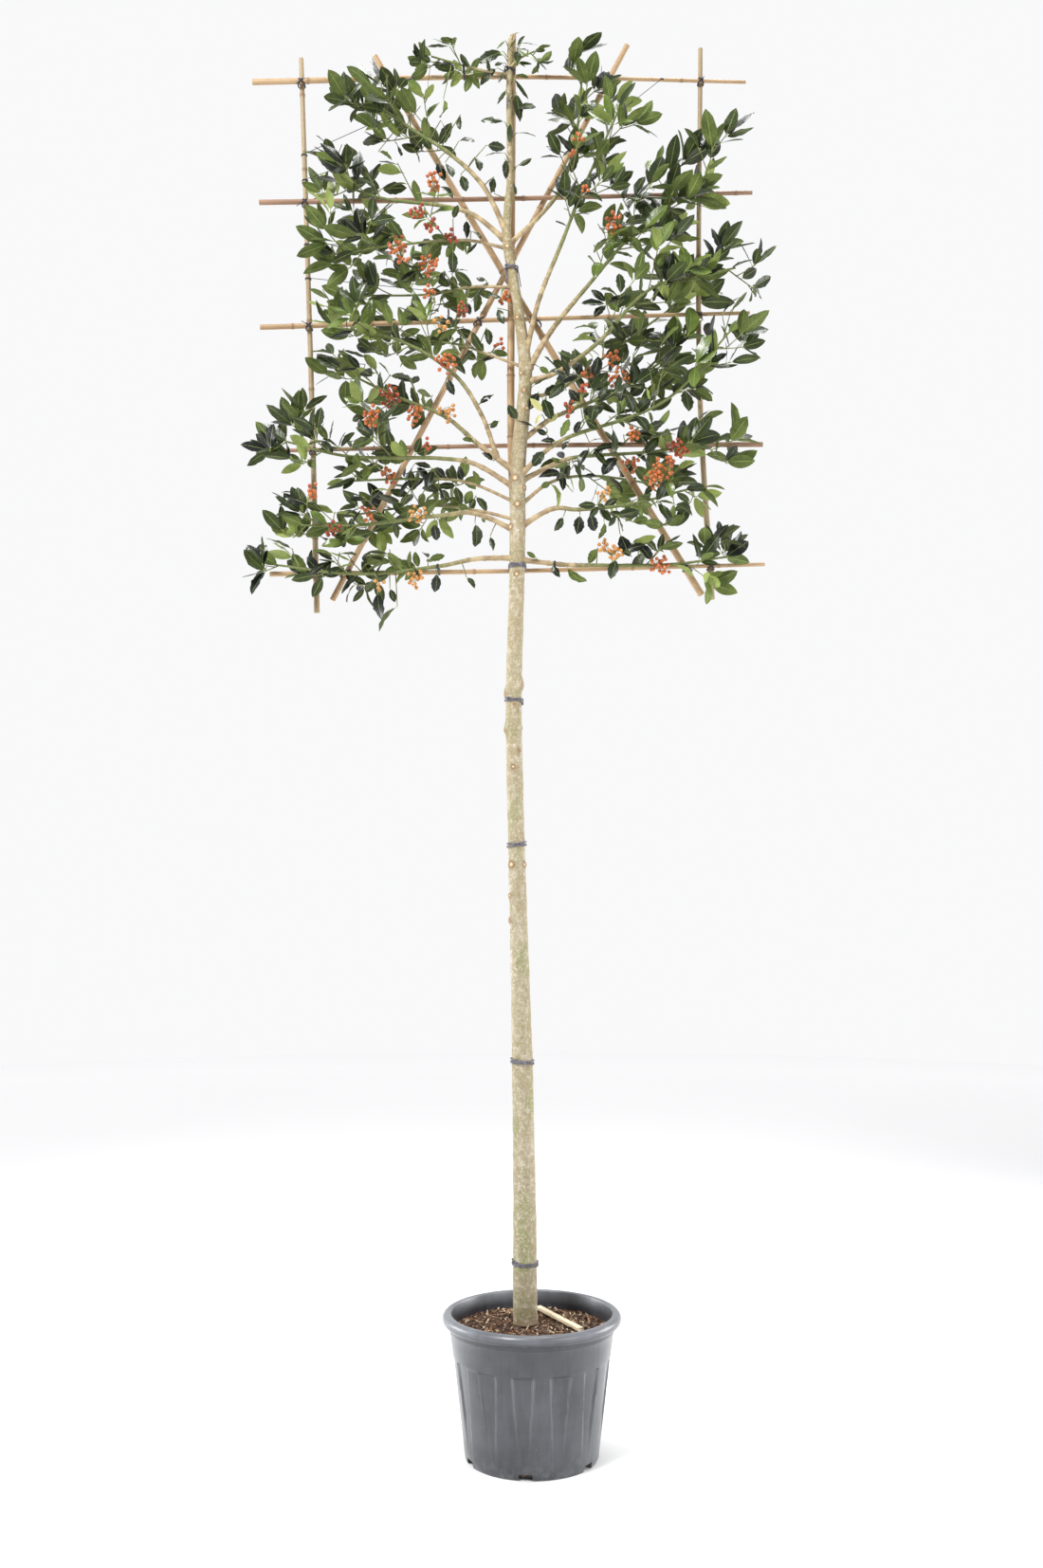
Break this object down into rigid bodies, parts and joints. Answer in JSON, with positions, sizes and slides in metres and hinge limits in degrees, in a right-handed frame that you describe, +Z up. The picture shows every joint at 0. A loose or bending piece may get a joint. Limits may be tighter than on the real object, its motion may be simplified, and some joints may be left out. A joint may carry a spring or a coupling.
{
  "type": "pleached holly tree in a pot",
  "caption": "Potted evergreen tree with a tall clear stem, its boughs trained flat on a bamboo frame, with glossy leaves and orange-red berries.",
  "frame": {"origin": "centre of the pot's flat underside", "axes": "+Z up along the trunk, +X to the right along the flat crown, +Y to the back, so the crown's front with the trunk before the canes faces -Y"},
  "size_m": [1.3287, 0.4333, 3.5721],
  "materials": {
    "pot": "satin",
    "potting_mix": "matte",
    "slat": "matte",
    "bark": "matte",
    "bough": "matte",
    "bamboo": "satin",
    "tie": "matte",
    "foliage": "satin"
  },
  "bodies": {
    "root": {"bough_left_1": "bough", "bough_left_11": "bough", "bough_left_12": "bough", "bough_left_2": "bough", "bough_left_5": "bough", "bough_left_6": "bough", "bough_left_7": "bough", "bough_right_1": "bough", "bough_right_10": "bough", "bough_right_11": "bough", "bough_right_2": "bough", "bough_right_4": "bough", "bough_right_5": "bough", "bough_right_6": "bough", "bough_right_8": "bough", "bough_right_9": "bough", "cane_centre": "bamboo", "cane_level_1": "bamboo", "cane_level_2": "bamboo", "cane_level_3": "bamboo", "cane_level_4": "bamboo", "cane_level_5": "bamboo", "cane_slant_left": "bamboo", "cane_slant_right": "bamboo", "cane_upright_left": "bamboo", "cane_upright_right": "bamboo", "pot": "pot", "potting_mix": "potting_mix", "spray_left_1": "foliage", "spray_left_10": "foliage", "spray_left_11": "foliage", "spray_left_12": "foliage", "spray_left_2": "foliage", "spray_left_3": "foliage", "spray_left_4": "foliage", "spray_left_5": "foliage", "spray_left_6": "foliage", "spray_left_7": "foliage", "spray_left_8": "foliage", "spray_left_9": "foliage", "spray_right_1": "foliage", "spray_right_10": "foliage", "spray_right_11": "foliage", "spray_right_2": "foliage", "spray_right_3": "foliage", "spray_right_4": "foliage", "spray_right_5": "foliage", "spray_right_6": "foliage", "spray_right_7": "foliage", "spray_right_8": "foliage", "spray_right_9": "foliage", "spray_top_left": "foliage", "spray_top_right": "foliage", "trunk": "bark", "trunk_tie_1": "tie", "trunk_tie_2": "tie", "trunk_tie_3": "tie", "trunk_tie_4": "tie", "trunk_tie_5": "tie", "wooden_slat": "slat"}
  },
  "joints": []
}
